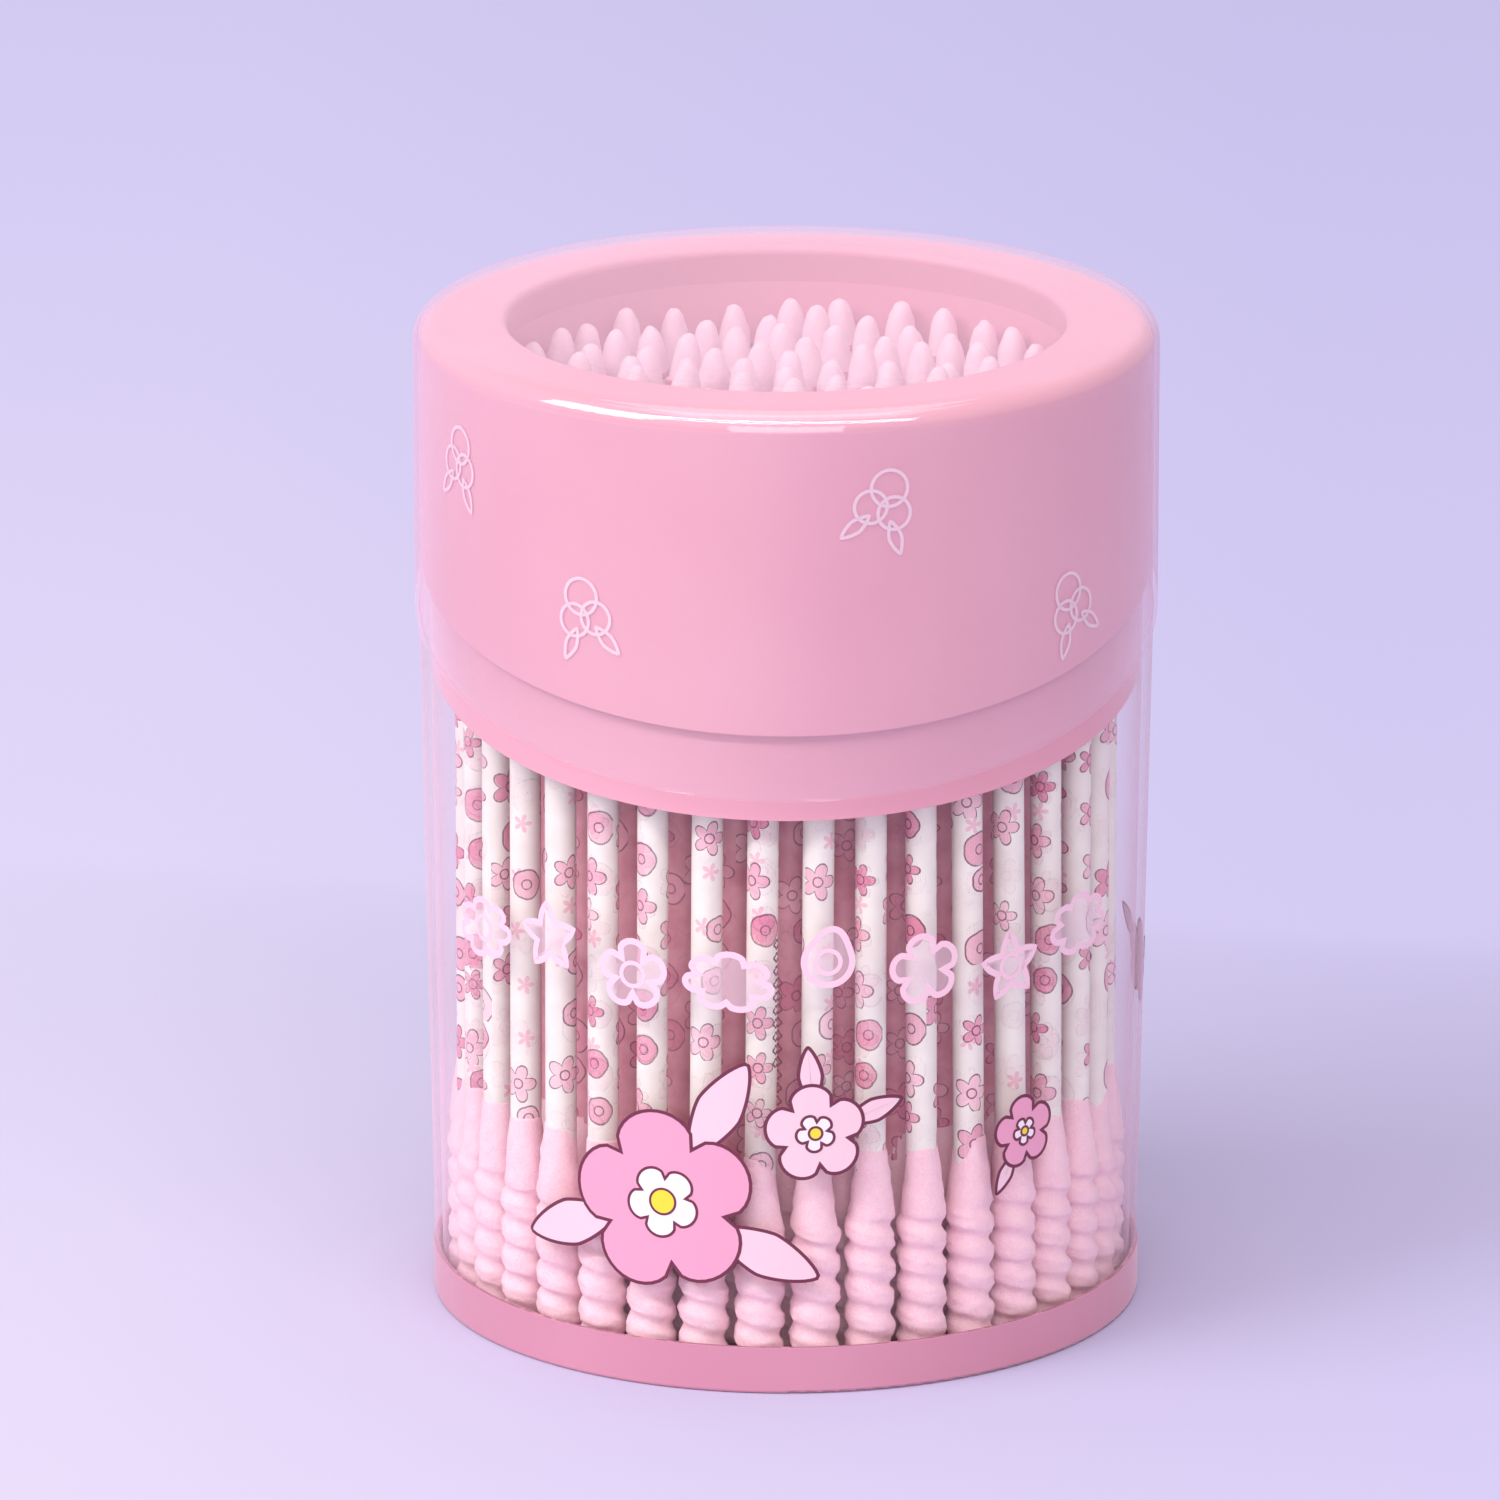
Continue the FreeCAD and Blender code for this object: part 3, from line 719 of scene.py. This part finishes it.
def blossom_print(name, azimuth, height, size, petals, leaves=()):
    """An outlined blossom with a yellow middle, over its leaves."""
    parts = []
    for tilt, reach in leaves:
        turn = math.radians(tilt)
        at = (math.cos(turn) * reach * size, math.sin(turn) * reach * size)
        shape = flat_motif(leaf, size * 0.62, BLOSSOM_LINE, PALE_INK, PLUM_INK, tilt=tilt, at=at)
        parts.append(wrapped(shape, azimuth, height, LAYER))
    shape = flat_motif(blossom, size, BLOSSOM_LINE, petals, PLUM_INK, tilt=8)
    parts.append(wrapped(shape, azimuth, height, 2 * LAYER))
    shape = flat_motif(blossom, size * 0.4, BLOSSOM_LINE * 0.8, WHITE_INK, PLUM_INK, tilt=30)
    parts.append(wrapped(shape, azimuth, height, 3 * LAYER))
    shape = flat_motif(button, size * 0.15, BLOSSOM_LINE * 0.7, YELLOW_INK, PLUM_INK)
    parts.append(wrapped(shape, azimuth, height, 4 * LAYER))
    return print_piece(name, parts, "tub")


def tube_prints():
    """A large and a few small blossoms low on the tube, and a row of pale shapes above them."""
    for name, azimuth, height, size, petals, leaves in SPRAYS:
        blossom_print(f"{name}_blossom_print", azimuth, height * MM, size * MM, petals, leaves)
    parts = []
    for index, outline in enumerate(ROW):
        azimuth = ROW_START + ROW_STEP * index
        height = (ROW_HEIGHT + ROW_WAVE * math.sin(index * 1.9)) * MM
        stretch = (1.25, 0.85) if outline is cloud else (1, 1)
        tilt = 10 - 5 * (index % 5)
        shape = flat_motif(outline, 2.9 * MM, ROW_LINE, VEIL_INK, LINE_INK, stretch, tilt)
        parts.append(wrapped(shape, azimuth, height, LAYER))
        if index % 2 == 0:
            shape = flat_motif(button, 1.1 * MM, 0.35 * MM, None, LINE_INK)
            parts.append(wrapped(shape, azimuth, height, 2 * LAYER))
    print_piece("pale_row_print", parts, "tub")


# Each line sprig on the cap: degrees round from the front, height in millimetres, and tilt
SPRIGS = (
    (-33, 61.0, 12), (15, 70.5, -18), (50, 60.0, 20), (-62, 70.0, -8), (86, 70.5, 10), (128, 71.0, -15),
    (172, 71.5, 12), (-146, 71.0, 20), (-106, 70.5, -12),
)
# Its parts: direction in degrees, reach from its middle in millimetres, outline and size
SPRIG_PARTS = (
    (90, 1.2, button, 1.55), (210, 1.1, button, 1.4), (330, 1.1, button, 1.4),
    (235, 2.85, leaf, 1.5), (305, 2.85, leaf, 1.5),
)


def cap_prints():
    """Pale line sprigs on the inside of the cap's wall, all round."""
    for number, (azimuth, height, tilt) in enumerate(SPRIGS, start=1):
        parts = []
        for turn, reach, outline, size in SPRIG_PARTS:
            swung = turn + tilt
            angle = math.radians(swung)
            at = (math.cos(angle) * reach * MM, math.sin(angle) * reach * MM)
            shape = flat_motif(outline, size * MM, SPRIG_LINE, None, SPRIG_INK, tilt=swung, at=at)
            parts.append(wrapped(shape, azimuth, height * MM, -LAYER, cap_radius))
        print_piece(f"line_sprig_{number}", parts, "lid")


TABLE_WIDTH = 6.0


def floor_finish():
    """Pale lavender table, its colour graded as a painted light falloff: lightest towards the near left."""
    finish = Finish("lavender_table")
    parts = finish.node("SeparateXYZ", {0: finish.place})
    # Painted light: the table's colour is graded from left to right and from far to near
    side = finish.ramp(parts.outputs["X"], -0.055, 0.05)
    near = finish.ramp(parts.outputs["Y"], 0.35, -0.15)
    far_row = finish.mix(side, colour(196, 190, 225), colour(189, 184, 223))
    near_row = finish.mix(side, colour(202, 194, 216), colour(191, 183, 215))
    body = finish.node("BsdfDiffuse", {"Color": finish.mix(near, far_row, near_row)})
    return finish.done(body.outputs[0])


# Colour and strength of the air that lights the tub, and of the wall that is seen behind it
AIR = (colour(255, 250, 252), 0.55)
WALL = (colour(236, 226, 244), 0.8)

# Each lamp: name, place, aim, width, height and power in watts
LAMPS = (
    ("window", (-1.1, -0.5, 0.9), (0, 0, 0.04), 0.9, 0.6, 9.5),
    ("strip", (-0.2, -1.0, 1.25), (0, 0, 0.07), 3.0, 0.06, 15.5),
    ("panel", (0.0, 0.1, 1.5), (0, 0, 0.07), 1.2, 1.2, 6.5),
    ("low_fill", (0.0, -1.45, 0.35), (0, 0, 0.04), 0.9, 0.7, 2.8),
)


def room():
    """Pale air all round, which the camera, gloss and clear pieces see as a lavender wall."""
    world = bpy.data.worlds.new("room")
    scene.world = world
    world.use_nodes = True
    tree = world.node_tree
    tree.nodes.clear()
    path = tree.nodes.new("ShaderNodeLightPath")
    seen = path.outputs["Is Camera Ray"]
    for ray in ("Is Glossy Ray", "Is Transmission Ray"):
        either = tree.nodes.new("ShaderNodeMath")
        either.operation = "MAXIMUM"
        tree.links.new(seen, either.inputs[0])
        tree.links.new(path.outputs[ray], either.inputs[1])
        seen = either.outputs[0]
    both = tree.nodes.new("ShaderNodeMixShader")
    tree.links.new(seen, both.inputs[0])
    for index, (tint, strength) in enumerate((AIR, WALL), start=1):
        glow = tree.nodes.new("ShaderNodeBackground")
        glow.inputs["Color"].default_value = tint
        glow.inputs["Strength"].default_value = strength
        tree.links.new(glow.outputs[0], both.inputs[index])
    out = tree.nodes.new("ShaderNodeOutputWorld")
    tree.links.new(both.outputs[0], out.inputs["Surface"])


def surroundings():
    """The table, the room and the lamps."""
    alone()
    bpy.ops.mesh.primitive_plane_add(size=TABLE_WIDTH)
    floor = bpy.context.object
    floor.name = "table"
    floor.data.materials.append(floor_finish())
    room()
    # Light passes the cap's and the tube's clear walls twice each way
    scene.cycles.transparent_max_bounces = 16
    for name, place, aim, width, height, power in LAMPS:
        data = bpy.data.lights.new(name, "AREA")
        data.shape = "RECTANGLE"
        data.size = width
        data.size_y = height
        data.energy = power
        lamp = bpy.data.objects.new(name, data)
        lamp.location = place
        lamp.rotation_euler = (Vector(aim) - Vector(place)).to_track_quat("-Z", "Y").to_euler()
        scene.collection.objects.link(lamp)


# A long lens, in millimetres, from the front and a little above
SENSOR_WIDTH = 36.0
LENS = 336.0
LOOK_DOWN = math.radians(16.62)
CAMERA_AIM = Vector((-2.80 * MM, 0, 43.10 * MM))
CAMERA_DISTANCE = 1.082


def camera():
    data = bpy.data.cameras.new("camera")
    data.sensor_width = SENSOR_WIDTH
    data.lens = LENS
    data.clip_end = 20.0
    eye = bpy.data.objects.new("camera", data)
    back = Vector((0, -math.cos(LOOK_DOWN), math.sin(LOOK_DOWN)))
    eye.location = CAMERA_AIM + back * CAMERA_DISTANCE
    eye.rotation_euler = (math.radians(90) - LOOK_DOWN, 0, 0)
    scene.collection.objects.link(eye)
    scene.camera = eye


camera()
surroundings()
dress_frame()
dress_swabs()
tube_prints()
cap_prints()
